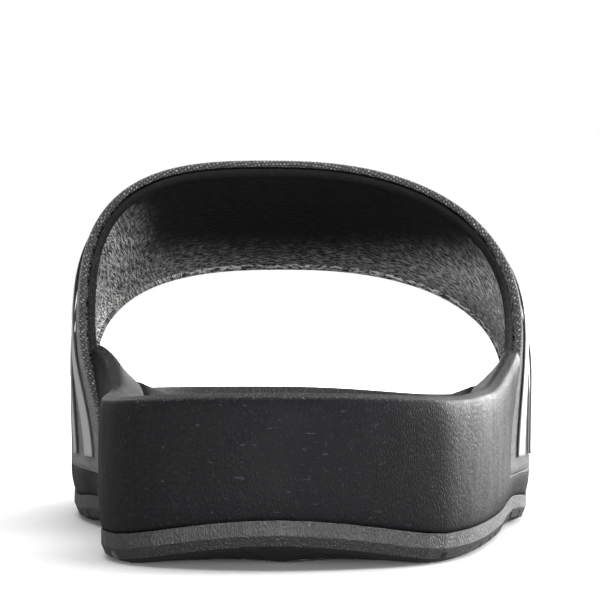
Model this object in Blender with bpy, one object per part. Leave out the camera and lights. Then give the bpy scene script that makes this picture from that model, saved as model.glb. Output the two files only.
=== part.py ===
"""A sport slide sandal for the right foot, empty, standing on its sole.

One moulded sole unit (outsole, midsole with a raised rim, insole) carries a padded strap
that is set into recesses in the sides of the midsole. Lengths are metres and +Z is up.
The toe points along +Y and +X is the outer, lateral side. The origin is on the floor,
under the middle of the sole's length and of its ball width.
"""

import math
from functools import lru_cache

import bmesh
import bpy
import numpy as np
from mathutils import Vector

# Sole, in plan
SOLE_LENGTH = 0.280
HEEL_WIDTH = 0.076
BALL_WIDTH = 0.1130

# Sole, in height
RIM_HEIGHT = 0.035
INSOLE_HEIGHT = 0.026
OUTSOLE_THICKNESS = 0.006
INSOLE_THICKNESS = 0.004
TOE_SPRING = 0.009
HEEL_ROCKER = 0.004
ARCH_LIFT = 0.0015
TOE_BAR_HEIGHT = 0.0015
TOE_BAR_REACH = 0.0080
CUP_POWER = 2.6

# Places along the sole, as shares of its length
ROCKER_END = 0.075
ARCH_START = 0.340
ARCH_END = 0.540
TOE_SPRING_START = 0.660
TOE_BAR_PLACE = 0.735
SPINE_START = 0.140
SPINE_END = 0.860

# Sole, rim and edges
RIM_WIDTH = 0.0080
RIM_ROUNDING = 0.0030
OUTSOLE_ROUNDING = 0.0030
OUTSOLE_INSET = 0.0008

# Tread
TREAD_PITCH = 0.0140
TREAD_GROOVE_WIDTH = 0.0030
TREAD_GROOVE_DEPTH = 0.0022
TREAD_ZIGZAG_WIDTH = 0.0150
TREAD_ZIGZAG_DEPTH = 0.0050
TREAD_MARGIN = 0.0090

# Strap
STRAP_WALL = 0.0040
STRAP_SEAT_HEIGHT = 0.0130
INSTEP_HEIGHT = 0.0862
FRONT_HEIGHT = 0.0642
STRAP_REAR_BASE = 0.1090
STRAP_REAR_TOP = 0.1280
STRAP_FRONT_TOP = 0.1960
STRAP_FRONT_BASE = 0.2080
STRAP_PEAK_OFFSET = -0.0050
STRAP_BULGE = 0.0050
STRAP_LEAN_POWER = 3
MEDIAL_LEAN_START = -0.0040
MEDIAL_LEAN_END = 0.0120
LATERAL_LEAN_START = -0.0300
LATERAL_LEAN_END = 0.0000
STRAP_EDGE_ROUNDING = 0.0014

# Binding along the strap's two edges
BINDING_WIDTH = 0.0032
BINDING_THICKNESS = 0.0017
BINDING_PROUD = 0.0003

# Plain stripes laid over the strap
STRIPE_THICKNESS = 0.0006
STRIPE_END_HEIGHT = 0.0036
WIDE_STRIPE_START = 0.0105
WIDE_STRIPE_WIDTH = 0.0105
NARROW_STRIPE_START = 0.0310
NARROW_STRIPE_WIDTH = 0.0065

# Gap between neighbouring pieces
CLEARANCE = 0.0003

# How far in and down a rounding's middle lies, as a share of its radius
ROUNDING_MIDDLE = 1 - math.sqrt(0.5)

# Resolution of the faceted surfaces
SIDE_STATIONS = 34
STRAP_STATIONS = 40
ARCH_SAMPLES = 160

# The sole's outline, from above. Each row gives the distance from the heel as a share of
# the sole's length, then the inner and outer sides as shares of the named width.
OUTLINE = (
    # along, width, medial, lateral
    (0.000, HEEL_WIDTH, -0.060, -0.060),
    (0.014, HEEL_WIDTH, -0.286, 0.172),
    (0.050, HEEL_WIDTH, -0.458, 0.350),
    (0.107, HEEL_WIDTH, -0.541, 0.452),
    (0.161, HEEL_WIDTH, -0.555, 0.505),
    (0.286, HEEL_WIDTH, -0.556, 0.583),
    (0.411, BALL_WIDTH, -0.410, 0.434),
    (0.500, BALL_WIDTH, -0.464, 0.478),
    (0.607, BALL_WIDTH, -0.500, 0.500),
    (0.700, BALL_WIDTH, -0.500, 0.496),
    (0.786, BALL_WIDTH, -0.479, 0.460),
    (0.875, BALL_WIDTH, -0.430, 0.382),
    (0.936, BALL_WIDTH, -0.372, 0.288),
    (0.979, BALL_WIDTH, -0.285, 0.140),
    (1.000, BALL_WIDTH, -0.085, -0.085),
)

# Heights along the sole. The rim is a share of RIM_HEIGHT, the insole of INSOLE_HEIGHT.
HEIGHTS = (
    # along, medial rim, lateral rim, medial edge, lateral edge, middle of the insole
    (0.000, 1.000, 1.000, 1.200, 1.200, 1.190),
    (0.050, 0.970, 0.970, 1.190, 1.190, 1.080),
    (0.107, 0.955, 0.955, 1.190, 1.185, 1.000),
    (0.200, 0.970, 0.965, 1.190, 1.180, 0.980),
    (0.290, 0.990, 0.975, 1.220, 1.190, 1.000),
    (0.345, 1.060, 1.060, 1.280, 1.240, 1.020),
    (0.400, 1.210, 1.200, 1.340, 1.300, 1.020),
    (0.450, 1.240, 1.215, 1.330, 1.290, 1.000),
    (0.520, 1.160, 1.130, 1.250, 1.210, 0.940),
    (0.600, 1.030, 1.010, 1.130, 1.080, 0.860),
    (0.700, 0.930, 0.900, 1.020, 0.980, 0.790),
    (0.780, 0.865, 0.830, 0.965, 0.940, 0.780),
    (0.875, 0.830, 0.785, 0.960, 0.925, 0.810),
    (0.940, 0.822, 0.775, 0.985, 0.940, 0.870),
    (1.000, 0.817, 0.817, 1.000, 1.000, 0.990),
)

# The strap's outer surface across the foot, between its rear and front edges at the sole.
STRAP_SECTIONS = (
    # along, rise, medial and lateral bulge, its height, medial and lateral fullness
    (-0.10, 1.160, 1.00, 0.55, 0.460, 3.00, 2.20),
    (0.060, 1.080, 1.00, 0.50, 0.450, 3.00, 2.20),
    (0.190, 1.000, 0.62, 0.12, 0.440, 2.95, 2.20),
    (0.360, 0.770, 0.14, 0.02, 0.340, 2.80, 2.20),
    (0.580, 0.400, 0.06, 0.04, 0.270, 2.80, 2.30),
    (0.880, 0.000, 0.15, 0.20, 0.300, 2.90, 2.50),
    (1.100, -0.250, 0.15, 0.25, 0.320, 2.90, 2.50),
)

BLACK_FOAM = ("black_foam", (0.020, 0.020, 0.022), 0.62)
BLACK_RUBBER = ("black_rubber", (0.014, 0.014, 0.015), 0.55)
BLACK_KNIT = ("black_knit", (0.030, 0.030, 0.033), 0.85)
BLACK_BINDING = ("black_binding", (0.022, 0.022, 0.025), 0.55)
LIGHT_GREY_FILM = ("light_grey_film", (0.560, 0.560, 0.570), 0.45)


def clear_scene():
    for old in list(bpy.data.objects):
        bpy.data.objects.remove(old, do_unlink=True)


def material(name, colour, roughness):
    made = bpy.data.materials.get(name) or bpy.data.materials.new(name)
    made.use_nodes = True
    shader = made.node_tree.nodes["Principled BSDF"]
    shader.inputs["Base Color"].default_value = (*colour, 1.0)
    shader.inputs["Roughness"].default_value = roughness
    shader.inputs["Metallic"].default_value = 0.0
    return made


def smooth_through(x, xs, ys):
    """A smooth curve through the points, which runs on straight past both ends."""
    if x <= xs[0]:
        return ys[0] + (x - xs[0]) * (ys[1] - ys[0]) / (xs[1] - xs[0])
    if x >= xs[-1]:
        return ys[-1] + (x - xs[-1]) * (ys[-1] - ys[-2]) / (xs[-1] - xs[-2])
    i = int(np.searchsorted(xs, x, side="right")) - 1
    slopes = []
    for k in (i, i + 1):
        low, high = max(k - 1, 0), min(k + 1, len(xs) - 1)
        slopes.append((ys[high] - ys[low]) / (xs[high] - xs[low]))
    step = xs[i + 1] - xs[i]
    s = (x - xs[i]) / step
    return (
        (2 * s**3 - 3 * s**2 + 1) * ys[i]
        + (s**3 - 2 * s**2 + s) * step * slopes[0]
        + (3 * s**2 - 2 * s**3) * ys[i + 1]
        + (s**3 - s**2) * step * slopes[1]
    )


def turn(along):
    """The share of a half turn that keeps the two ends of an outline round."""
    return math.acos(1 - 2 * min(max(along, 0.0), 1.0)) / math.pi


def outline_x(y, side):
    """The sole's edge at the distance y from the heel. The side is -1 medial, 1 lateral."""
    turns = [turn(row[0]) for row in OUTLINE]
    edge = [row[1] * row[2 if side < 0 else 3] for row in OUTLINE]
    return smooth_through(turn(y / SOLE_LENGTH), turns, edge)


def height_at(y, column, of):
    along = [row[0] for row in HEIGHTS]
    return of * smooth_through(y / SOLE_LENGTH, along, [row[column] for row in HEIGHTS])


def rim_height(y, side):
    return height_at(y, 1 if side < 0 else 2, RIM_HEIGHT)


def ground_height(y):
    """The underside: flat at the heel and ball, with a rocker, an arch and a toe spring."""
    along = y / SOLE_LENGTH
    if along < ROCKER_END:
        return HEEL_ROCKER * (1 - along / ROCKER_END) ** 2
    if along > TOE_SPRING_START:
        return TOE_SPRING * ((along - TOE_SPRING_START) / (1 - TOE_SPRING_START)) ** 2
    if ARCH_START < along < ARCH_END:
        turn_share = (along - ARCH_START) / (ARCH_END - ARCH_START)
        return ARCH_LIFT * math.sin(math.pi * turn_share) ** 2
    return 0.0


def insole_height(y, side, across):
    """The insole's top, where across runs from 0 on the centre line to 1 at its edge."""
    edge = height_at(y, 3 if side < 0 else 4, INSOLE_HEIGHT)
    middle = height_at(y, 5, INSOLE_HEIGHT)
    from_bar = (y - TOE_BAR_PLACE * SOLE_LENGTH) / TOE_BAR_REACH
    bar = TOE_BAR_HEIGHT * math.exp(-(from_bar**2)) * (1 - across**4)
    return middle + (edge - middle) * across**CUP_POWER + bar


class Station:
    """One place on the sole's outline, with the way inwards and its spot on the centre line."""

    def __init__(self, share, side):
        self.side = side
        self.y = SOLE_LENGTH * (1 - math.cos(math.pi * share)) / 2
        self.x = outline_x(self.y, side)
        self.spine_y = SOLE_LENGTH * (SPINE_START + share * (SPINE_END - SPINE_START))
        sides = [outline_x(self.spine_y, -1), outline_x(self.spine_y, 1)]
        self.spine_x = sum(sides) / 2
        self.inward = Vector((0.0, 0.0))

    def inset(self, distance):
        """The point that lies this far inside the outline."""
        return self.x + self.inward.x * distance, self.y + self.inward.y * distance

    def towards_spine(self, distance, share):
        """From the inset outline, at share 0, to the centre line, at share 1."""
        x, y = self.inset(distance)
        return x + (self.spine_x - x) * share, y + (self.spine_y - y) * share


def outline_stations():
    """Stations once round the sole: heel tip, lateral side, toe tip, medial side."""
    shares = [i / (SIDE_STATIONS + 1) for i in range(SIDE_STATIONS + 2)]
    around = [Station(s, 1) for s in shares] + [Station(s, -1) for s in shares[-2:0:-1]]
    count = len(around)
    for i, station in enumerate(around):
        before, after = around[i - 1], around[(i + 1) % count]
        tangent = Vector((after.x - before.x, after.y - before.y)).normalized()
        station.inward = Vector((-tangent.y, tangent.x))
    return around


STATIONS = outline_stations()


def side_lean(y, side, z):
    """How far the strap's lower wall leans out past the sole's outline."""
    bulge, bulge_height = strap_bulge(y, side)
    share = min(max((z - STRAP_SEAT_HEIGHT) / (bulge_height - STRAP_SEAT_HEIGHT), 0.0), 1.0)
    return bulge * math.sin(share * math.pi / 2) ** STRAP_LEAN_POWER


def strap_share(y):
    return (y - STRAP_REAR_BASE) / (STRAP_FRONT_BASE - STRAP_REAR_BASE)


def strap_value(y, column):
    shares = [row[0] for row in STRAP_SECTIONS]
    share = min(max(strap_share(y), shares[0]), shares[-1])
    return smooth_through(share, shares, [row[column] for row in STRAP_SECTIONS])


def strap_bulge(y, side):
    """The strap's bulge past the outline on one side, and the height of its widest place."""
    bulge = STRAP_BULGE * max(strap_value(y, 2 if side < 0 else 3), 0.0)
    return bulge, STRAP_SEAT_HEIGHT + (strap_top(y) - STRAP_SEAT_HEIGHT) * strap_value(y, 4)


def wing_lean(y, side, z):
    """How far the midsole's side leans out to meet the strap, from nothing near the heel."""
    start, end = MEDIAL_LEAN_START, MEDIAL_LEAN_END
    if side > 0:
        start, end = LATERAL_LEAN_START, LATERAL_LEAN_END
    share = min(max((y - STRAP_REAR_BASE - start) / (end - start), 0.0), 1.0)
    return side_lean(y, side, z) * share * share * (3 - 2 * share)


def strap_top(y):
    return FRONT_HEIGHT + (INSTEP_HEIGHT - FRONT_HEIGHT) * strap_value(y, 1)


@lru_cache(maxsize=None)
def strap_section(y):
    """The outer curve across the foot at y, as arc shares from medial to lateral and points."""
    top = strap_top(y)
    points = []
    for side, column in ((-1, 5), (1, 6)):
        bulge, bulge_height = strap_bulge(y, side)
        widest = outline_x(y, side) + side * bulge
        fullness = 2 / strap_value(y, column)
        wall = []
        for z in np.linspace(STRAP_SEAT_HEIGHT, bulge_height, ARCH_SAMPLES // 4, endpoint=False):
            wall.append((outline_x(y, side) + side * side_lean(y, side, z), z))
        arch = []
        for angle in np.linspace(0, math.pi / 2, ARCH_SAMPLES // 2):
            x = STRAP_PEAK_OFFSET + (widest - STRAP_PEAK_OFFSET) * math.cos(angle) ** fullness
            arch.append((x, bulge_height + (top - bulge_height) * math.sin(angle) ** fullness))
        half = wall + arch
        points += half if side < 0 else half[-2::-1]
    points = np.array(points)
    steps = np.linalg.norm(np.diff(points, axis=0), axis=1)
    shares = np.concatenate([[0.0], np.cumsum(steps)]) / steps.sum()
    return shares, points


def edge_lift(arc):
    return math.sin(math.pi * min(max(arc, 0.0), 1.0)) ** 1.3


def strap_edges(arc):
    """Where the strap starts and ends along the sole, at a share of the way over the foot."""
    lift = edge_lift(arc)
    rear = STRAP_REAR_BASE + (STRAP_REAR_TOP - STRAP_REAR_BASE) * lift
    front = STRAP_FRONT_BASE + (STRAP_FRONT_TOP - STRAP_FRONT_BASE) * lift
    return rear, front


def strap_surface(arc, along):
    """A point of the strap's outer surface, at a share over the foot and a share forwards."""
    rear, front = strap_edges(arc)
    y = rear + (front - rear) * along
    shares, points = strap_section(round(y, 6))
    x = np.interp(arc, shares, points[:, 0])
    z = np.interp(arc, shares, points[:, 1])
    return Vector((float(x), y, float(z)))


def strap_frame(arc):
    """The strap's width here, and a function from a distance forwards and a depth to a point."""
    width = sum(
        (strap_surface(arc, (i + 1) / 12) - strap_surface(arc, i / 12)).length
        for i in range(12)
    )
    step = 0.012

    def at(distance, depth):
        along = distance / width
        here = strap_surface(arc, along)
        low, high = max(arc - step, 0.0), min(arc + step, 1.0)
        over = strap_surface(high, along) - strap_surface(low, along)
        forward = strap_surface(arc, along + step) - strap_surface(arc, along - step)
        inward = forward.cross(over).normalized()
        return here + inward * depth

    return width, at


def placed(point):
    """From a distance along the sole to the object's own frame."""
    return Vector((point[0], point[1] - SOLE_LENGTH / 2, point[2]))


def add_loop(bm, points):
    return [bm.verts.new(placed(point)) for point in points]


def join_loops(bm, first, second):
    count = len(first)
    for i in range(count):
        following = (i + 1) % count
        bm.faces.new((first[i], first[following], second[following], second[i]))


def finish(bm, name, look, merge=1e-6):
    bmesh.ops.remove_doubles(bm, verts=bm.verts, dist=merge)
    bmesh.ops.dissolve_degenerate(bm, edges=bm.edges, dist=merge)
    bmesh.ops.triangulate(bm, faces=[face for face in bm.faces if len(face.verts) > 3])
    bmesh.ops.recalc_face_normals(bm, faces=bm.faces)
    mesh = bpy.data.meshes.new(name)
    bm.to_mesh(mesh)
    bm.free()
    mesh.shade_smooth()
    mesh.set_sharp_from_angle(angle=math.radians(38))
    made = bpy.data.objects.new(name, mesh)
    bpy.context.scene.collection.objects.link(made)
    if look:
        mesh.materials.append(material(*look))
    return made


def lofted(name, loops, look):
    """A closed body from loops round the outline, whose first and last close on the spine."""
    bm = bmesh.new()
    rows = [add_loop(bm, loop) for loop in loops]
    for first, second in zip(rows, rows[1:]):
        join_loops(bm, first, second)
    return finish(bm, name, look)


def spine_loops(distance, shares, height):
    """Loops from the inset outline in to the centre line. Height takes a station and share."""
    return [
        [(*s.towards_spine(distance, share), height(s, share)) for s in STATIONS]
        for share in shares
    ]


def side_loop(inset, height):
    return [(*s.inset(inset), height(s)) for s in STATIONS]


def outsole_bottom(station, share):
    return ground_height(station.towards_spine(0.0, share)[1])


def outsole_top(station, share):
    return outsole_bottom(station, share) + OUTSOLE_THICKNESS


def zigzag_bars():
    """Grooves across the tread, each one a zigzag bar that reaches past both sides."""
    bm = bmesh.new()
    half = BALL_WIDTH / 2 + TREAD_ZIGZAG_WIDTH
    folds = math.ceil(half / TREAD_ZIGZAG_WIDTH)
    count = int((SOLE_LENGTH - 2 * TREAD_MARGIN) / TREAD_PITCH)
    for row in range(1, count):
        middle = TREAD_MARGIN + row * TREAD_PITCH
        floor = ground_height(middle) + TREAD_GROOVE_DEPTH
        loops = []
        for fold in range(-folds, folds + 1):
            y = middle + (TREAD_ZIGZAG_DEPTH / 2 if fold % 2 else -TREAD_ZIGZAG_DEPTH / 2)
            x = fold * TREAD_ZIGZAG_WIDTH
            back, front = y - TREAD_GROOVE_WIDTH / 2, y + TREAD_GROOVE_WIDTH / 2
            low = -TREAD_GROOVE_DEPTH
            loops.append(
                add_loop(bm, [(x, back, low), (x, front, low), (x, front, floor), (x, back, floor)])
            )
        for first, second in zip(loops, loops[1:]):
            join_loops(bm, first, second)
        bm.faces.new(loops[0])
        bm.faces.new(loops[-1])
    return finish(bm, "tread_cutter", None)


def cut(target, cutter, name):
    modifier = target.modifiers.new(name, "BOOLEAN")
    modifier.operation = "DIFFERENCE"
    modifier.solver = "EXACT"
    modifier.object = cutter
    cutter.hide_render = True
    cutter.display_type = "WIRE"


def outsole():
    """The tread layer, with a rounded lower edge and zigzag grooves."""
    inset = OUTSOLE_INSET
    quarter = OUTSOLE_ROUNDING * ROUNDING_MIDDLE
    base = spine_loops(inset + OUTSOLE_ROUNDING, (1.0, 0.5, 0.0), outsole_bottom)
    sides = [
        side_loop(inset + quarter, lambda s: ground_height(s.y) + quarter),
        side_loop(inset, lambda s: ground_height(s.y) + OUTSOLE_ROUNDING),
        side_loop(inset, lambda s: ground_height(s.y) + OUTSOLE_THICKNESS),
    ]
    top = spine_loops(inset, (0.5, 1.0), outsole_top)
    made = lofted("outsole", base + sides + top, BLACK_RUBBER)
    cut(made, zigzag_bars(), "tread")
    return made


def midsole_bottom(station, share):
    return outsole_top(station, share) + CLEARANCE


def pocket_floor(station, share):
    _, y = station.towards_spine(RIM_WIDTH, share)
    return insole_height(y, station.side, 1 - share) - INSOLE_THICKNESS - CLEARANCE


def lip_height(station):
    """The top of the insole's edge, where the rim's inner slope ends."""
    return insole_height(station.inset(RIM_WIDTH)[1], station.side, 1.0)


def rim_loop(inset, drop, share=1.0, fall=0.0):
    """A loop at a share of the way up to a depth below the rim, leaning out by the strap.

    Fall is the share of the way that it slopes down from the rim to the insole's edge.
    """
    loop = []
    for s in STATIONS:
        low = ground_height(s.y) + OUTSOLE_THICKNESS
        rim = rim_height(s.y, s.side)
        rim -= fall * (rim - lip_height(s))
        z = low + (rim - drop - low) * share
        x, y = s.inset(inset)
        loop.append((x + s.side * wing_lean(s.y, s.side, z) * abs(s.inward.x), y, z))
    return loop


def midsole():
    """The foam body: side wall, rounded rim with its wings, and the pocket for the insole."""
    lower = spine_loops(OUTSOLE_INSET, (1.0, 0.5, 0.0), midsole_bottom)
    shoulder = ROUNDING_MIDDLE * RIM_ROUNDING
    upper = [
        rim_loop(0.0, RIM_ROUNDING, 0.12),
        rim_loop(0.0, RIM_ROUNDING, 0.34),
        rim_loop(0.0, RIM_ROUNDING, 0.58),
        rim_loop(0.0, RIM_ROUNDING, 0.80),
        rim_loop(0.0, RIM_ROUNDING),
        rim_loop(shoulder, shoulder),
        rim_loop(RIM_ROUNDING, 0.0),
        rim_loop(0.5 * RIM_WIDTH, 0.0, fall=0.12),
        rim_loop(0.68 * RIM_WIDTH, 0.0, fall=0.50),
    ]
    lip = side_loop(RIM_WIDTH, lip_height)
    pocket = spine_loops(RIM_WIDTH, (0.0, 0.18, 0.45, 0.72, 1.0), pocket_floor)
    made = lofted("midsole", lower + upper + [lip] + pocket, BLACK_FOAM)
    cut(made, strap_cutter(), "strap_recess")
    return made


def insole():
    """The contoured top layer, which drops into the midsole's pocket."""
    edge = RIM_WIDTH + CLEARANCE
    rounding = 0.35 * INSOLE_THICKNESS

    def top(station, share):
        _, y = station.towards_spine(edge, share)
        return insole_height(y, station.side, 1 - share)

    def bottom(station, share):
        return top(station, share) - INSOLE_THICKNESS

    lower = spine_loops(edge, (1.0, 0.72, 0.45, 0.18, 0.0), bottom)
    sides = [side_loop(edge, lambda s: top(s, 0.0) - rounding)]
    upper = spine_loops(edge, (0.03, 0.16, 0.32, 0.5, 0.68, 0.84, 1.0), top)
    return lofted("insole", lower + sides + upper, BLACK_FOAM)


def strap_body(name, profile, look, arcs, drop=0.0):
    """A body swept over the foot. Profile gives loop points for the strap's width there."""
    bm = bmesh.new()
    rows = []
    for arc in arcs:
        width, at = strap_frame(arc)
        rows.append(add_loop(bm, [at(distance, depth) for distance, depth in profile(width)]))
    if drop:
        down = Vector((0.0, 0.0, drop))
        below = [[bm.verts.new(v.co - down) for v in row] for row in (rows[0], rows[-1])]
        rows = [below[0], *rows, below[1]]
    for first, second in zip(rows, rows[1:]):
        join_loops(bm, first, second)
    bm.faces.new(rows[0])
    bm.faces.new(rows[-1])
    return finish(bm, name, look)


def over_the_foot():
    return [i / (STRAP_STATIONS - 1) for i in range(STRAP_STATIONS)]


def strap_profile(width):
    """The wall: padded, rounded outside at both edges, stepped inside for the bindings."""
    r, w = STRAP_EDGE_ROUNDING, width
    step = BINDING_WIDTH + CLEARANCE
    shelf = STRAP_WALL - BINDING_THICKNESS - CLEARANCE
    outer = [(r + (w - 2 * r) * i / 9, 0.0) for i in range(10)]
    inner = [(w - step - (w - 2 * step) * i / 8, STRAP_WALL) for i in range(9)]
    corner = ROUNDING_MIDDLE * r
    return (
        outer
        + [(w - corner, corner), (w, r), (w, shelf), (w - step, shelf)]
        + inner
        + [(step, shelf), (0.0, shelf), (0.0, r), (corner, corner)]
    )


def binding_profile(start, forwards):
    """A rolled edge strip that fills the strap's inner corner. Forwards is 1 at the rear."""
    shelf = STRAP_WALL - BINDING_THICKNESS
    crest = STRAP_WALL + BINDING_PROUD
    rows = (
        (0.00, shelf),
        (-0.05, shelf + 0.45 * BINDING_THICKNESS),
        (0.10, STRAP_WALL - 0.10 * BINDING_THICKNESS),
        (0.40, crest),
        (0.75, crest - 0.3 * BINDING_PROUD),
        (1.00, STRAP_WALL - 0.25 * BINDING_THICKNESS),
        (1.00, shelf),
    )
    return [(start + forwards * share * BINDING_WIDTH, depth) for share, depth in rows]


def strap_cutter():
    """The strap with its bindings, grown by the clearance, to cut its seat in the midsole."""
    beyond = 2 * STRAP_WALL
    depth = STRAP_WALL + BINDING_PROUD + CLEARANCE

    def profile(width):
        low, high = -CLEARANCE - 0.05 * BINDING_WIDTH, width + CLEARANCE + 0.05 * BINDING_WIDTH
        ahead = [(low + (high - low) * i / 8, -beyond) for i in range(9)]
        return ahead + [(distance, depth) for distance, _ in reversed(ahead)]

    return strap_body("strap_cutter", profile, None, over_the_foot(), drop=CLEARANCE)


def strap():
    return strap_body("strap", strap_profile, BLACK_KNIT, over_the_foot())


def bindings():
    strap_body(
        "rear_binding", lambda w: binding_profile(0.0, 1), BLACK_BINDING, over_the_foot()
    )
    strap_body(
        "front_binding", lambda w: binding_profile(w, -1), BLACK_BINDING, over_the_foot()
    )


def stripe(name, start, width):
    """A thin band over the strap, whose ends stop a little above the sole."""
    points = strap_section(round(STRAP_REAR_BASE, 6))[1]
    girth = np.linalg.norm(np.diff(points, axis=0), axis=1).sum()
    end = STRIPE_END_HEIGHT / girth
    arcs = [end, *[arc for arc in over_the_foot() if end < arc < 1 - end], 1 - end]
    inside, outside = -CLEARANCE, -CLEARANCE - STRIPE_THICKNESS

    def profile(_):
        across = [start + width * i / 2 for i in range(3)]
        return [(a, inside) for a in across] + [(a, outside) for a in reversed(across)]

    return strap_body(name, profile, LIGHT_GREY_FILM, arcs)


clear_scene()
outsole()
midsole()
insole()
strap()
bindings()
stripe("wide_stripe", WIDE_STRIPE_START, WIDE_STRIPE_WIDTH)
stripe("narrow_stripe", NARROW_STRIPE_START, NARROW_STRIPE_WIDTH)
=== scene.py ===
"""The looks of a sport slide sandal: knit strap, brushed lining, grained foam and film."""

import math

import bmesh
import bpy
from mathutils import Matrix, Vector


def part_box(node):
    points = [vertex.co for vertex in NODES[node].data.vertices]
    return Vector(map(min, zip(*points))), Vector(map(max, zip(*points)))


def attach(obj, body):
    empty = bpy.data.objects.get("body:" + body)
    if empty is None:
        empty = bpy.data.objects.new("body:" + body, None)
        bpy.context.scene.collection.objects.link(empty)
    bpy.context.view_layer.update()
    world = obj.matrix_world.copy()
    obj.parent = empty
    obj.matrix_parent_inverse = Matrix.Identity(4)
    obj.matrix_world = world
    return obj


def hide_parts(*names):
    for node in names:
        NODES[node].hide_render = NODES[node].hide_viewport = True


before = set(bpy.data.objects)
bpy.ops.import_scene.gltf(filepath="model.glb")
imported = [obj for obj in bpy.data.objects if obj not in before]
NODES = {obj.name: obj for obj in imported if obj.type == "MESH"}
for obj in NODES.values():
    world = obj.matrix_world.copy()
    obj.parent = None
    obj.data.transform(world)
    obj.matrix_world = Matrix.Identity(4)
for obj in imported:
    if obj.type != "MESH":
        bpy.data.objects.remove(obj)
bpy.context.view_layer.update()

# Lengths are in metres. A pair of limits says where a mask starts and where it is full.

# The photograph: a level view at the heel, from behind, 600 pixels square
PHOTO_SIZE = 600
PHOTO_HORIZON = 293
FOCAL_PIXELS = 3320
SENSOR = 36.0
CAMERA_BEHIND_HEEL = 0.650
CAMERA_HEIGHT = 0.0546
CAMERA_SEES_TO = 50.0

HEEL_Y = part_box("midsole")[0].y

# The heart of the strap's arch, which its lining faces
ARCH_HEART = Vector((-0.002, 0.0, 0.030))

# How squarely a face looks out from the heart: lining below the first, film above the second
LINING_FACING = -0.4
FILM_FACING = 0.5

# Facets flatter than the first angle are joined, and edges past the second stay crisp
JOIN_ANGLE = math.radians(14)
CUT_ANGLE = math.radians(34)
SMOOTH_LEVELS = 2

# Corners closer than the first are one. The second is the least step up to the next ring.
SAME_CORNER = 1e-6
RING_STEP = 0.0012

# How much more a corner counts as the rear one when it also lies outwards
OUTER_SHARE = 0.4

# The way round the strap's loft from its medial end to its crown
STRAP_MIDDLE = 0.115

# Colours, as linear light
FOAM_BLACK = (0.0065, 0.0065, 0.0075)
FOAM_WORN = (0.045, 0.045, 0.047)
FOAM_RUBBED = (0.110, 0.110, 0.112)
RUBBER_BLACK = (0.013, 0.013, 0.014)
KNIT_DARK = (0.010, 0.010, 0.012)
KNIT_LIGHT = (0.320, 0.322, 0.330)
# The lining's dark colours are painted shade over the arch's middle; its pale deep, light and
# turned colours are painted light on its front and flanks
LINING_DARK = (0.005, 0.005, 0.0055)
LINING_DARK_TIP = (0.013, 0.013, 0.014)
LINING_DEEP_PAINTED_LIGHT = (0.040, 0.040, 0.040)
LINING_PAINTED_LIGHT = (0.940, 0.935, 0.920)
LINING_TURNED_PAINTED_LIGHT = (0.680, 0.677, 0.668)
# The tape's light colour is its knit crowns, and painted light and painted highlight on its
# streaks, its sides and its lateral side
TAPE_BLACK = (0.0070, 0.0070, 0.0075)
TAPE_LIGHT = (0.200, 0.200, 0.203)
FILM_GREY = (0.400, 0.400, 0.405)
FILM_SHADE = (0.290, 0.290, 0.300)
FLOOR_WHITE = (0.93, 0.93, 0.93)
FLOOR_SPECK = tuple(channel * 0.985 for channel in FLOOR_WHITE)
FLAG_GREY = (0.22, 0.22, 0.22)
BLACK = (0.0, 0.0, 0.0)
WHITE = (1.0, 1.0, 1.0)

# Grain: noises per metre, how far the pebbles drift, and the masks
GRAIN_STRETCH = (1.0, 1.0, 0.5)
LINT_STRETCH = (420.0, 420.0, 1500.0)
DRIFTS, PORES, SWELLS = 260.0, 3200.0, 120.0
GRAIN_DRIFT = 0.0016
PORE_DEPTH = 0.5
PEBBLE_EDGE = (0.02, 0.30)
PORE_CREST = (0.48, 0.68)
WORN_PATCHES = (0.42, 0.62)
STRAY_LINT = (0.66, 0.76)

# Wear on the foam: shares of crests and lint, and how far a face has to look up for dust
CREST_WEAR, LINT_WEAR = 0.32, 0.8
LOOKS_UP = (0.30, 0.85)
PATCH_DUST, EVEN_DUST, LEAST_DUST = 0.35, 0.65, 0.10
PATCH_GLOSS, GLOSS_START = 0.05, 0.02

# Knit: the size of a loop, its sway and fuzz, and the masks of its crown. The flecks and
# ribs that darken it are strokes, as length, breadth, slant and seed.
LOOP_PITCH, LOOP_ROW = 0.00078, 0.00090
KNIT_SWAYS, KNIT_SWAY = 420.0, 0.0005
KNIT_FUZZES, FUZZ_DEPTH = 2600.0, 0.5
LOOP_CROWN = (0.35, 0.90)
FUZZ_CROWN = (0.30, 0.62)
FLECK, FLECK_LIMITS, FLECK_SHARE = (0.0008, 0.0045, 0.0, 44.0), (0.40, 0.58), 0.65
RIB, RIB_LIMITS, RIB_SHARE = (0.0010, 0.0130, 0.0, 52.0), (0.42, 0.56), 0.60

# Lining: sway, then each set of strokes as length, breadth, slant and seed
NAP_SWAYS, NAP_SWAY, NAP_LEAN = 170.0, 0.0020, 0.9
RISING_STROKES = (0.0022, 0.0008, 0.25, 2.0)
FALLING_STROKES = (0.0019, 0.0008, -0.30, 9.0)
FORE_STROKES = (0.00040, 0.0080, 6.0, 15.0)
AFT_STROKES = (0.00036, 0.0070, -8.0, 21.0)
STROKE_DETAIL, STROKE_ROUGHNESS = 3.5, 0.6
ARCH_SIDE = (0.040, 0.065)
STROKE_TIPS = (0.485, 0.62)

# Where light is painted on the lining: low at the front, and far out and low on the flanks
FRONT_HEIGHTS = (0.0715, 0.0570)
FLANK_REACH = (0.035, 0.048)
FLANK_HEIGHTS = (0.080, 0.066)
FLANK_PAINTED_LIGHT = 0.95
PAINTED_LIGHT_MIDDLE_X = 0.002
HEIGHT_LEAN, REACH_LEAN = 0.004, 0.006
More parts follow.
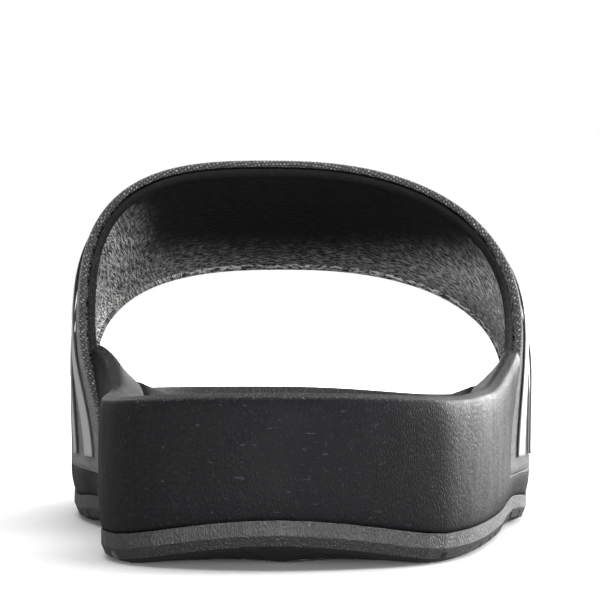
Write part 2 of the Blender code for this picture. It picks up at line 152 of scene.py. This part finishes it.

# Tape: streaks and patches of painted highlight, and how much painted light it has at the sides and
# on the lateral one
TAPE_PITCH, TAPE_ROW = 0.0007, 0.0006
TAPE_STREAKS, STREAK_LIMITS = (0.0045, 0.00040, 0.0, 4.0), (0.52, 0.66)
TAPE_PATCHES, PATCH_LIMITS = (0.0120, 0.0060, 0.0, 31.0), (0.45, 0.62)
TAPE_SIDE, TAPE_LATERAL = (0.030, 0.080), (0.045, 0.090)
STREAK_SHARE = 0.5
SIDE_SHARE, CROWN_SHARE = 0.40, 0.05
LATERAL_SHARE, LATERAL_GROUND = 0.55, 0.25

# Depths of the bumps
KNIT_DEPTH = 0.00014
LINING_DEPTH = 0.0008
TAPE_DEPTH = 0.00010
FILM_DEPTH = 0.00008
TREAD_DEPTH = 0.00008

# Floor and backdrop. The world's light grows behind the shoe and to its right.
FLOOR_REACH = 6.0
FLOOR_SPECKS = 40.0
FLOOR_FADE = (0.22, 0.70)
FLOOR_GLOW = 0.9
BACKDROP_BEHIND, BEHIND_LIGHT = (-0.35, 0.65), 0.40
BACKDROP_RIGHT, RIGHT_LIGHT = (-0.10, 0.80), 0.45
LEAST_LIGHT = 0.12

# Lamps: name, place, what it aims at, width, height and watts
LAMPS = (
    ("right_softbox", (1.1, 0.35, 0.45), (0.0, -0.02, 0.04), 0.7, 0.7, 14.0),
    ("right_rim_softbox", (0.66, 1.05, 0.25), (0.0, -0.05, 0.03), 0.3, 0.4, 12.0),
    ("low_left_strip", (-1.0, -0.75, 0.08), (0.0, 0.02, 0.06), 0.6, 0.12, 6.0),
    ("low_right_strip", (1.0, -0.75, 0.08), (0.0, 0.02, 0.06), 0.6, 0.12, 8.0),
    ("heel_softbox", (0.0, -1.25, 0.09), (0.0, 0.05, 0.06), 0.5, 0.12, 12.0),
    ("top_softbox", (0.0, 0.1, 1.3), (0.0, 0.0, 0.0), 1.2, 1.2, 16.0),
    ("toe_softbox", (0.1, 1.3, 0.35), (0.0, 0.0, 0.05), 1.0, 0.6, 8.0),
)

VECTOR = "NodeSocketVector"
FLOAT = "NodeSocketFloat"


def new_group(name, inputs, outputs):
    """An empty node group with its named sockets, some with a value of their own."""
    tree = bpy.data.node_groups.new(name, "ShaderNodeTree")
    for label, kind, value in inputs:
        socket = tree.interface.new_socket(label, in_out="INPUT", socket_type=kind)
        if value is not None:
            socket.default_value = value
    for label in outputs:
        tree.interface.new_socket(label, in_out="OUTPUT", socket_type=FLOAT)
    return tree, tree.nodes.new("NodeGroupInput"), tree.nodes.new("NodeGroupOutput")


def give_out(tree, end, values):
    for label, value in values.items():
        tree.links.new(value, end.inputs[label])


def set_socket(tree, socket, value):
    """Links the value to the socket if it is an output, or else sets it there."""
    if isinstance(value, bpy.types.NodeSocket):
        tree.links.new(value, socket)
    else:
        socket.default_value = value


def add_node(tree, kind, values=(), **settings):
    """A node with its settings, and plain values or links for its input sockets."""
    node = tree.nodes.new(kind)
    for name, value in settings.items():
        setattr(node, name, value)
    for socket, value in dict(values).items():
        set_socket(tree, node.inputs[socket], value)
    return node


def math_node(tree, operation, *values):
    return add_node(tree, "ShaderNodeMath", enumerate(values), operation=operation).outputs[0]


def ramp(tree, value, low, high):
    """The value's place between low and high, held between 0 and 1."""
    limits = {"Value": value, "From Min": low, "From Max": high}
    node = add_node(tree, "ShaderNodeMapRange", limits, interpolation_type="SMOOTHSTEP")
    return node.outputs["Result"]


def blend_colour(tree, share, first, second):
    node = add_node(tree, "ShaderNodeMix", data_type="RGBA")
    for socket, value in ((0, share), (6, first), (7, second)):
        colour = (*value, 1.0) if isinstance(value, tuple) else value
        set_socket(tree, node.inputs[socket], colour)
    return node.outputs[2]


def noise(tree, place, scale, detail=2.0, roughness=0.5):
    values = {"Vector": place, "Scale": scale, "Detail": detail, "Roughness": roughness}
    return add_node(tree, "ShaderNodeTexNoise", values)


def axes(tree, vector):
    return add_node(tree, "ShaderNodeSeparateXYZ", {0: vector}).outputs


def stretched(tree, place, scale):
    return add_node(tree, "ShaderNodeMapping", {"Vector": place, "Scale": scale}).outputs[0]


def swayed(tree, place, drift, reach):
    """The place pushed about by a noise's colour, up to this reach."""
    push = add_node(
        tree, "ShaderNodeVectorMath", {0: drift.outputs["Color"], "Scale": reach}, operation="SCALE"
    )
    moved = add_node(tree, "ShaderNodeVectorMath", {0: place, 1: push.outputs[0]}, operation="ADD")
    return moved.outputs[0]


def wave(tree, count):
    """A wave that is 0 at each whole count and 1 half way between."""
    turn = math_node(tree, "MULTIPLY", count, math.pi)
    return math_node(tree, "ABSOLUTE", math_node(tree, "SINE", turn))


def leather_grain_group():
    """Moulded leather grain: pebbles with creases between them, fine pores and stray lint."""
    tree, start, end = new_group(
        "leather_grain",
        [("Place", VECTOR, None), ("Pebbles per metre", FLOAT, None)],
        ["Height", "Crest", "Patches", "Lint"],
    )
    place = stretched(tree, start.outputs["Place"], GRAIN_STRETCH)
    moved = swayed(tree, place, noise(tree, place, DRIFTS), GRAIN_DRIFT)
    cells = add_node(
        tree,
        "ShaderNodeTexVoronoi",
        {"Vector": moved, "Scale": start.outputs["Pebbles per metre"], "Randomness": 1.0},
        feature="DISTANCE_TO_EDGE",
    )
    pebble = ramp(tree, cells.outputs["Distance"], *PEBBLE_EDGE)
    pores = noise(tree, place, PORES, detail=3.0).outputs["Fac"]
    swell = noise(tree, place, SWELLS, detail=3.0).outputs["Fac"]
    height = math_node(tree, "ADD", pebble, math_node(tree, "MULTIPLY", pores, PORE_DEPTH))
    height = math_node(tree, "ADD", height, swell)
    crest = math_node(tree, "MULTIPLY", pebble, ramp(tree, pores, *PORE_CREST))
    lint = noise(tree, stretched(tree, start.outputs["Place"], LINT_STRETCH), scale=1.0)
    give_out(tree, end, {
        "Height": height,
        "Crest": crest,
        "Patches": ramp(tree, swell, *WORN_PATCHES),
        "Lint": ramp(tree, lint.outputs["Fac"], *STRAY_LINT),
    })
    return tree


def stroke_field(tree, wrap, length, breadth, slant, seed):
    """Noise drawn out into strokes of this length and breadth, at a slant to the wrap."""
    parts = axes(tree, wrap)
    along, across = parts["X"], parts["Y"]
    across = math_node(tree, "SUBTRACT", across, math_node(tree, "MULTIPLY", along, slant))
    spot = add_node(tree, "ShaderNodeCombineXYZ", {
        "X": math_node(tree, "DIVIDE", along, length),
        "Y": math_node(tree, "DIVIDE", across, breadth),
        "Z": seed,
    })
    strokes = noise(tree, spot.outputs[0], 1.0, STROKE_DETAIL, STROKE_ROUGHNESS)
    return strokes.outputs["Fac"]


def knit_rows_group():
    """Rows of small loops along the strap, each with a bright crown and a dark hole."""
    tree, start, end = new_group(
        "knit_rows",
        [("Wrap", VECTOR, None), ("Pitch", FLOAT, LOOP_PITCH), ("Row", FLOAT, LOOP_ROW)],
        ["Height", "Crown", "Fuzz"],
    )
    wrap = start.outputs["Wrap"]
    parts = axes(tree, swayed(tree, wrap, noise(tree, wrap, KNIT_SWAYS), KNIT_SWAY))
    row = math_node(tree, "DIVIDE", parts["Y"], start.outputs["Row"])
    odd = math_node(tree, "MODULO", math_node(tree, "FLOOR", row), 2.0)
    loop = math_node(tree, "DIVIDE", parts["X"], start.outputs["Pitch"])
    loop = math_node(tree, "ADD", loop, math_node(tree, "MULTIPLY", odd, 0.5))
    bead = math_node(tree, "MULTIPLY", wave(tree, row), wave(tree, loop))
    fuzz = noise(tree, wrap, KNIT_FUZZES, detail=4.0).outputs["Fac"]
    height = math_node(tree, "ADD", bead, math_node(tree, "MULTIPLY", fuzz, FUZZ_DEPTH))
    crown = math_node(
        tree, "MULTIPLY", ramp(tree, bead, *LOOP_CROWN), ramp(tree, fuzz, *FUZZ_CROWN)
    )
    for strokes, limits, share in (
        (FLECK, FLECK_LIMITS, FLECK_SHARE),
        (RIB, RIB_LIMITS, RIB_SHARE),
    ):
        bright = ramp(tree, stroke_field(tree, wrap, *strokes), *limits)
        kept = math_node(tree, "MULTIPLY_ADD", bright, share, 1.0 - share)
        crown = math_node(tree, "MULTIPLY", crown, kept)
    give_out(tree, end, {"Height": height, "Crown": crown, "Fuzz": fuzz})
    return tree


def brushed_fibres_group():
    """A brushed, finely creased lining: strokes round the arch, and fore and aft at its sides, with
    a mask of painted light low at the front and far out on the flanks.
    """
    tree, start, end = new_group(
        "brushed_fibres",
        [("Wrap", VECTOR, None), ("Middle", FLOAT, None), ("Place", VECTOR, None)],
        ["Height", "Tips", "Painted light mask"],
    )
    sway = noise(tree, start.outputs["Wrap"], NAP_SWAYS)
    lean = math_node(tree, "SUBTRACT", sway.outputs["Fac"], 0.5)
    lean = math_node(tree, "MULTIPLY", lean, NAP_LEAN)
    wrap = swayed(tree, start.outputs["Wrap"], sway, NAP_SWAY)

    rising, falling, fore, aft = (
        stroke_field(tree, wrap, *strokes)
        for strokes in (RISING_STROKES, FALLING_STROKES, FORE_STROKES, AFT_STROKES)
    )
    crown = math_node(tree, "MAXIMUM", rising, falling)
    flank = math_node(tree, "MAXIMUM", fore, aft)
    from_middle = math_node(tree, "SUBTRACT", axes(tree, wrap)["X"], start.outputs["Middle"])
    side = ramp(tree, math_node(tree, "ABSOLUTE", from_middle), *ARCH_SIDE)
    turned = math_node(tree, "SUBTRACT", flank, crown)
    height = math_node(tree, "MULTIPLY_ADD", turned, side, crown)

    spot = axes(tree, start.outputs["Place"])
    level = math_node(tree, "MULTIPLY_ADD", lean, HEIGHT_LEAN, spot["Z"])
    outward = math_node(tree, "SUBTRACT", spot["X"], PAINTED_LIGHT_MIDDLE_X)
    outward = math_node(tree, "ABSOLUTE", outward)
    outward = math_node(tree, "MULTIPLY_ADD", lean, REACH_LEAN, outward)
    # Painted light low at the front and on the flanks, and painted shade over the middle
    front = ramp(tree, level, *FRONT_HEIGHTS)
    front = math_node(tree, "MULTIPLY", front, front)
    flanks = math_node(
        tree, "MULTIPLY", ramp(tree, outward, *FLANK_REACH), ramp(tree, level, *FLANK_HEIGHTS)
    )
    flanks = math_node(tree, "MULTIPLY", flanks, FLANK_PAINTED_LIGHT)
    give_out(tree, end, {
        "Height": height,
        "Tips": ramp(tree, height, *STROKE_TIPS),
        "Painted light mask": math_node(tree, "MAXIMUM", front, flanks),
    })
    return tree


LEATHER_GRAIN = leather_grain_group()
KNIT_ROWS = knit_rows_group()
BRUSHED_FIBRES = brushed_fibres_group()


def start_material(name, roughness, **constants):
    """A new material, its tree and its shader, with constants on the shader's own sockets."""
    material = bpy.data.materials.new(name)
    material.use_nodes = True
    tree = material.node_tree
    shader = tree.nodes["Principled BSDF"]
    shader.inputs["Roughness"].default_value = roughness
    for socket, value in constants.items():
        shader.inputs[socket.replace("_", " ")].default_value = value
    return material, tree, shader


def use_group(tree, group, **values):
    node = add_node(tree, "ShaderNodeGroup", node_tree=group)
    for label, value in values.items():
        set_socket(tree, node.inputs[label.replace("_", " ")], value)
    return node.outputs


def object_place(tree):
    return add_node(tree, "ShaderNodeTexCoord").outputs["Object"]


def wrap_place(tree):
    return add_node(tree, "ShaderNodeUVMap", uv_map="wrap").outputs["UV"]


def paint(tree, shader, colour):
    tree.links.new(colour, shader.inputs["Base Color"])


def bump(tree, shader, height, distance):
    node = add_node(
        tree, "ShaderNodeBump", {"Height": height, "Distance": distance, "Strength": 1.0}
    )
    tree.links.new(node.outputs["Normal"], shader.inputs["Normal"])


def grained_foam(name, pebbles, depth, roughness, dust):
    """Moulded foam with a leather grain, paler where the crests catch dust and wear."""
    material, tree, shader = start_material(name, roughness, Specular_IOR_Level=0.08)
    grain = use_group(tree, LEATHER_GRAIN, Place=object_place(tree), Pebbles_per_metre=pebbles)
    crest = math_node(tree, "MULTIPLY", grain["Crest"], CREST_WEAR)
    worn = math_node(tree, "MAXIMUM", crest, math_node(tree, "MULTIPLY", grain["Lint"], LINT_WEAR))
    colour = blend_colour(tree, worn, FOAM_BLACK, FOAM_WORN)
    facing = axes(tree, add_node(tree, "ShaderNodeNewGeometry").outputs["Normal"])
    dusty = math_node(tree, "MULTIPLY_ADD", grain["Patches"], PATCH_DUST, EVEN_DUST)
    dusty = math_node(tree, "MULTIPLY", grain["Crest"], dusty)
    dusty = math_node(tree, "MULTIPLY_ADD", dusty, dust, LEAST_DUST)
    dusty = math_node(tree, "MULTIPLY", ramp(tree, facing["Z"], *LOOKS_UP), dusty)
    paint(tree, shader, blend_colour(tree, dusty, colour, FOAM_RUBBED))
    gloss = math_node(
        tree, "MULTIPLY_ADD", grain["Patches"], PATCH_GLOSS, roughness - GLOSS_START
    )
    tree.links.new(gloss, shader.inputs["Roughness"])
    bump(tree, shader, grain["Height"], depth)
    return material


def knit():
    material, tree, shader = start_material(
        "ribbed_knit", roughness=0.75, Sheen_Weight=0.25, Sheen_Roughness=0.4
    )
    rows = use_group(tree, KNIT_ROWS, Wrap=wrap_place(tree))
    paint(tree, shader, blend_colour(tree, rows["Crown"], KNIT_DARK, KNIT_LIGHT))
    bump(tree, shader, rows["Height"], KNIT_DEPTH)
    return material


def lining(name, light):
    """Painted shade over the arch's middle, and this colour as painted light on the tips low at the
    front and far out on the flanks.
    """
    material, tree, shader = start_material(name, roughness=0.75, Specular_IOR_Level=0.10)
    place = object_place(tree)
    fibres = use_group(
        tree, BRUSHED_FIBRES, Wrap=wrap_place(tree), Place=place, Middle=STRAP_MIDDLE
    )
    # The mask paints light on the front and flanks; where it is empty the colours are painted shade
    painted_light_mask = fibres["Painted light mask"]
    deep = blend_colour(tree, painted_light_mask, LINING_DARK, LINING_DEEP_PAINTED_LIGHT)
    tip = blend_colour(tree, painted_light_mask, LINING_DARK_TIP, light)
    paint(tree, shader, blend_colour(tree, fibres["Tips"], deep, tip))
    bump(tree, shader, fibres["Height"], LINING_DEPTH)
    return material


def edge_tape():
    """A rolled tape with fine streaks along it, with painted highlights on them in patches, and
    painted light on its sides and most on its lateral one.
    """
    material, tree, shader = start_material(
        "edge_tape", roughness=0.7, Specular_IOR_Level=0.1
    )
    wrap = wrap_place(tree)
    rows = use_group(tree, KNIT_ROWS, Wrap=wrap, Pitch=TAPE_PITCH, Row=TAPE_ROW)
    streaks = stroke_field(tree, wrap, *TAPE_STREAKS)
    patches = stroke_field(tree, wrap, *TAPE_PATCHES)
    # Painted highlights on the streaks in patches, and the knit crowns
    crowns_and_painted_light = math_node(
        tree,
        "MULTIPLY",
        ramp(tree, streaks, *STREAK_LIMITS),
        ramp(tree, patches, *PATCH_LIMITS),
    )
    crowns_and_painted_light = math_node(tree, "MULTIPLY", crowns_and_painted_light, STREAK_SHARE)
    crowns_and_painted_light = math_node(tree, "MAXIMUM", crowns_and_painted_light, rows["Crown"])
    # Painted light on the sides, and most on the lateral side
    from_middle = math_node(tree, "SUBTRACT", axes(tree, wrap)["X"], STRAP_MIDDLE)
    side = ramp(tree, math_node(tree, "ABSOLUTE", from_middle), *TAPE_SIDE)
    lateral = ramp(tree, from_middle, *TAPE_LATERAL)
    share = math_node(tree, "MULTIPLY_ADD", side, SIDE_SHARE, CROWN_SHARE)
    share = math_node(tree, "MULTIPLY_ADD", lateral, LATERAL_SHARE, share)
    crowns_and_painted_light = math_node(tree, "MULTIPLY", crowns_and_painted_light, share)
    # The ground too is paler on the lateral side, as painted light
    lateral_painted_light = math_node(tree, "MULTIPLY", lateral, LATERAL_GROUND)
    deep = blend_colour(tree, lateral_painted_light, TAPE_BLACK, TAPE_LIGHT)
    paint(tree, shader, blend_colour(tree, crowns_and_painted_light, deep, TAPE_LIGHT))
    bump(tree, shader, math_node(tree, "ADD", streaks, rows["Height"]), TAPE_DEPTH)
    return material


def stripe_edge():
    """The dark cut edge round a stripe of film."""
    material, tree, shader = start_material("stripe_edge", roughness=0.6)
    rows = use_group(tree, KNIT_ROWS, Wrap=wrap_place(tree))
    paint(tree, shader, blend_colour(tree, rows["Fuzz"], KNIT_DARK, FOAM_RUBBED))
    return material


def stripe_film():
    material, tree, shader = start_material("stripe_film", roughness=0.42, Coat_Weight=0.1)
    rows = use_group(tree, KNIT_ROWS, Wrap=wrap_place(tree))
    paint(tree, shader, blend_colour(tree, rows["Fuzz"], FILM_SHADE, FILM_GREY))
    bump(tree, shader, rows["Height"], FILM_DEPTH)
    return material


def tread_rubber():
    material, tree, shader = start_material("tread_rubber", roughness=0.5)
    grain = use_group(tree, LEATHER_GRAIN, Place=object_place(tree), Pebbles_per_metre=1600.0)
    paint(tree, shader, blend_colour(tree, grain["Crest"], RUBBER_BLACK, FOAM_WORN))
    bump(tree, shader, grain["Height"], TREAD_DEPTH)
    return material


KNIT = knit()
# Both linings paint light on their front and flanks and shade over the arch's middle
LINING = lining("brushed_lining", LINING_PAINTED_LIGHT)
TURNED_EDGE = lining("turned_lining_edge", LINING_TURNED_PAINTED_LIGHT)
EDGE_TAPE = edge_tape()
STRIPE_FILM = stripe_film()
STRIPE_EDGE = stripe_edge()
WALL_FOAM = grained_foam("wall_foam", pebbles=1700.0, depth=0.00006, roughness=0.52, dust=1.80)
FOOTBED_FOAM = grained_foam(
    "footbed_foam", pebbles=1800.0, depth=0.00008, roughness=0.72, dust=0.60
)
TREAD_RUBBER = tread_rubber()


def merged_copy(node):
    bm = bmesh.new()
    bm.from_mesh(NODES[node].data)
    bmesh.ops.remove_doubles(bm, verts=bm.verts, dist=SAME_CORNER)
    return bm


def lowest_ring(bm):
    """The vertices of the band's medial end: those before the first step up in height."""
    medial = sorted((v for v in bm.verts if v.co.x < 0), key=lambda v: v.co.z)
    for count, (below, above) in enumerate(zip(medial, medial[1:]), start=1):
        if above.co.z - below.co.z > RING_STEP:
            return medial[:count]
    return medial


def rings_of_vertices(bm):
    """The band's cross sections from its medial end to its lateral end, each one unordered."""
    ring = lowest_ring(bm)
    seen = set(ring)
    rings = []
    while ring:
        rings.append(ring)
        onward = {e.other_vert(v) for v in ring for e in v.link_edges} - seen
        ring = sorted(onward, key=lambda v: v.index)
        seen.update(ring)
    return rings


def walk_round(ring):
    """The ring's points in order round it, following the edges that join them."""
    members = set(ring)
    path = [ring[0]]
    while len(path) < len(ring):
        nearby = [e.other_vert(path[-1]) for e in path[-1].link_edges]
        onward = [v for v in nearby if v in members and v not in path]
        if not onward:
            break
        path.append(onward[0])
    return [v.co.copy() for v in path]


def match_round(points, like):
    """The same loop of points, turned and started to lie closest to another loop."""
    turned = [points[k:] + points[:k] for k in range(len(like))]
    turned += [loop[::-1] for loop in turned]
    return min(turned, key=lambda loop: sum((a - b).length_squared for a, b in zip(loop, like)))


def nearest_round(ring, like):
    """An end cap's points, each one the nearest to its partner in the next loop."""
    return [min((v.co for v in ring), key=lambda co: (co - point).length).copy() for point in like]


def band_sections(node):
    """A band's cross sections, as loops of points that start at its outer rear edge."""
    bm = merged_copy(node)
    bm.verts.index_update()
    rings = rings_of_vertices(bm)
    first = walk_round(rings[1])
    rear = min(range(len(first)), key=lambda k: first[k].y + OUTER_SHARE * first[k].x)
    loops = [first[rear:] + first[:rear]]
    for ring in rings[2:-1]:
        loops.append(match_round(walk_round(ring), loops[-1]))
    loops = [nearest_round(rings[0], loops[0]), *loops, nearest_round(rings[-1], loops[-1])]
    bm.free()
    return loops


def looks_outward(face):
    """How squarely a face looks out from the arch's heart, seen along the foot."""
    outward = face.calc_center_median() - ARCH_HEART
    outward.y = 0.0
    return face.normal.dot(outward.normalized())


def lining_faces(bm):
    """The faces that look at the heart of the arch, and the step walls between them."""
    inner = {face for face in bm.faces if looks_outward(face) < LINING_FACING}
    steps = set()
    for face in bm.faces:
        beside = {other for edge in face.edges for other in edge.link_faces}
        if len(beside & inner) > 1:
            steps.add(face)
    return inner | steps


def cut_edges(bm):
    """A stripe's narrow edges, which look along the foot and not out from it."""
    return [face for face in bm.faces if abs(looks_outward(face)) < FILM_FACING]


def close_loops(bm, loops):
    """The loops' vertices, bridged in turn and capped with a crisp edge at both ends."""
    rows = [[bm.verts.new(point) for point in loop] for loop in loops]
    for row in rows:
        for here, after in zip(row, row[1:] + row[:1]):
            bm.edges.new((here, after))
    for pair in zip(rows, rows[1:]):
        edges = [bm.edges.get(ends) for row in pair for ends in zip(row, row[1:] + row[:1])]
        bmesh.ops.bridge_loops(bm, edges=edges)
    caps = [bm.faces.new(rows[0]), bm.faces.new(rows[-1])]
    bmesh.ops.recalc_face_normals(bm, faces=bm.faces)
    crease = bm.edges.layers.float.new("crease_edge")
    for cap in caps:
        for edge in cap.edges:
            edge[crease] = 1.0
    return rows


def map_wrap(bm, loops, rows):
    """The wrap map in metres: the way round the foot, then the way round the section."""
    count = len(rows[0])
    where = {}
    far = 0.0
    for i, loop in enumerate(loops):
        if i:
            far += sum((a - b).length for a, b in zip(loop, loops[i - 1])) / count
        across = [0.0]
        for here, after in zip(loop, loop[1:] + loop[:1]):
            across.append(across[-1] + (after - here).length)
        for k in range(count):
            where[rows[i][k]] = (far, across[k], across[-1], k)
    uv = bm.loops.layers.uv.new("wrap")
    for face in bm.faces:
        steps = {where[v][3] for v in face.verts}
        wraps = 0 in steps and count - 1 in steps
        for corner in face.loops:
            u, v, whole, k = where[corner.vert]
            corner[uv].uv = (u, whole if wraps and k == 0 else v)


def new_mesh(name, bm):
    for face in bm.faces:
        face.smooth = True
    mesh = bpy.data.meshes.new(name)
    bm.to_mesh(mesh)
    bm.free()
    return mesh


def finish_piece(name, mesh, node, materials):
    """Places the mesh as a rounded piece that stands for its node."""
    piece = bpy.data.objects.new(name, mesh)
    bpy.context.scene.collection.objects.link(piece)
    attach(piece, "root")
    for material in materials:
        mesh.materials.append(material)
    modifier = piece.modifiers.new("smooth", "SUBSURF")
    modifier.levels = SMOOTH_LEVELS
    modifier.render_levels = SMOOTH_LEVELS
    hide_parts(node)


def band_piece(name, node, materials, second_faces=None):
    """A closed body over the node's cross sections. Some faces take the second material."""
    loops = band_sections(node)
    bm = bmesh.new()
    rows = close_loops(bm, loops)
    map_wrap(bm, loops, rows)
    if second_faces:
        for face in second_faces(bm):
            face.material_index = 1
    finish_piece(name, new_mesh(name, bm), node, materials)


def moulded_piece(name, node, material):
    """The node's own shape with its facets rounded off, and its cut edges kept crisp."""
    bm = merged_copy(node)
    bmesh.ops.join_triangles(
        bm, faces=bm.faces, angle_face_threshold=JOIN_ANGLE, angle_shape_threshold=math.pi
    )
    crease = bm.edges.layers.float.new("crease_edge")
    for edge in bm.edges:
        if len(edge.link_faces) == 2 and edge.calc_face_angle() > CUT_ANGLE:
            edge[crease] = 1.0
    finish_piece(name, new_mesh(name, bm), node, [material])


FILM = [STRIPE_FILM, STRIPE_EDGE]
band_piece("knit_strap", "strap", [KNIT, LINING], lining_faces)
band_piece("rear_edge_tape", "rear_binding", [EDGE_TAPE])
band_piece("front_edge_turn", "front_binding", [TURNED_EDGE])
band_piece("wide_film_stripe", "wide_stripe", FILM, cut_edges)
band_piece("narrow_film_stripe", "narrow_stripe", FILM, cut_edges)
moulded_piece("foam_body", "midsole", WALL_FOAM)
moulded_piece("footbed", "insole", FOOTBED_FOAM)
NODES["outsole"].data.materials.clear()
NODES["outsole"].data.materials.append(TREAD_RUBBER)


def faded_floor():
    """A pale floor that brightens to the backdrop's white away from the shoe.

    It gives the shoe only a little of its light back, as between black studio flags.
    """
    material, tree, shader = start_material(
        "pale_floor", roughness=0.9, Emission_Strength=FLOOR_GLOW
    )
    place = object_place(tree)
    speck = noise(tree, place, FLOOR_SPECKS).outputs["Fac"]
    plain = blend_colour(tree, speck, FLOOR_SPECK, FLOOR_WHITE)
    seen = add_node(tree, "ShaderNodeLightPath").outputs["Is Camera Ray"]
    paint(tree, shader, blend_colour(tree, seen, FLAG_GREY, plain))
    away = add_node(tree, "ShaderNodeVectorMath", {0: place}, operation="LENGTH")
    faded = math_node(tree, "MULTIPLY", ramp(tree, away.outputs["Value"], *FLOOR_FADE), seen)
    tree.links.new(blend_colour(tree, faded, BLACK, WHITE), shader.inputs["Emission Color"])
    return material


def pale_floor():
    bm = bmesh.new()
    bmesh.ops.create_grid(bm, x_segments=8, y_segments=8, size=FLOOR_REACH)
    mesh = bpy.data.meshes.new("floor")
    bm.to_mesh(mesh)
    bm.free()
    mesh.materials.append(faded_floor())
    floor = bpy.data.objects.new("floor", mesh)
    bpy.context.scene.collection.objects.link(floor)


def studio_light(name, place, aim, width, height, power):
    lamp = bpy.data.lights.new(name, "AREA")
    lamp.shape = "RECTANGLE"
    lamp.size, lamp.size_y, lamp.energy = width, height, power
    holder = bpy.data.objects.new(name, lamp)
    holder.location = place
    holder.rotation_euler = (Vector(aim) - Vector(place)).to_track_quat("-Z", "Y").to_euler()
    bpy.context.scene.collection.objects.link(holder)


def studio():
    """A backdrop that the camera sees as white, and the lamps round the shoe."""
    world = bpy.data.worlds.new("studio")
    bpy.context.scene.world = world
    world.use_nodes = True
    tree = world.node_tree
    backdrop = tree.nodes["Background"]
    backdrop.inputs["Color"].default_value = (*WHITE, 1.0)
    way = axes(tree, add_node(tree, "ShaderNodeTexCoord").outputs["Generated"])
    behind_shoe = ramp(tree, way["Y"], *BACKDROP_BEHIND)
    from_right = ramp(tree, way["X"], *BACKDROP_RIGHT)
    light = math_node(tree, "MULTIPLY_ADD", behind_shoe, BEHIND_LIGHT, LEAST_LIGHT)
    light = math_node(tree, "MULTIPLY_ADD", from_right, RIGHT_LIGHT, light)
    seen = add_node(tree, "ShaderNodeLightPath").outputs["Is Camera Ray"]
    tree.links.new(math_node(tree, "MAXIMUM", light, seen), backdrop.inputs["Strength"])
    for lamp in LAMPS:
        studio_light(*lamp)


def photo_camera():
    camera = bpy.data.cameras.new("photo_camera")
    camera.sensor_width = SENSOR
    camera.lens = SENSOR * FOCAL_PIXELS / PHOTO_SIZE
    camera.shift_y = (PHOTO_HORIZON - PHOTO_SIZE / 2) / PHOTO_SIZE
    camera.clip_end = CAMERA_SEES_TO
    holder = bpy.data.objects.new("photo_camera", camera)
    holder.location = (0.0, HEEL_Y - CAMERA_BEHIND_HEEL, CAMERA_HEIGHT)
    holder.rotation_euler = (math.pi / 2, 0.0, 0.0)
    bpy.context.scene.collection.objects.link(holder)
    bpy.context.scene.camera = holder


bpy.context.scene.view_settings.view_transform = "Standard"
pale_floor()
studio()
photo_camera()
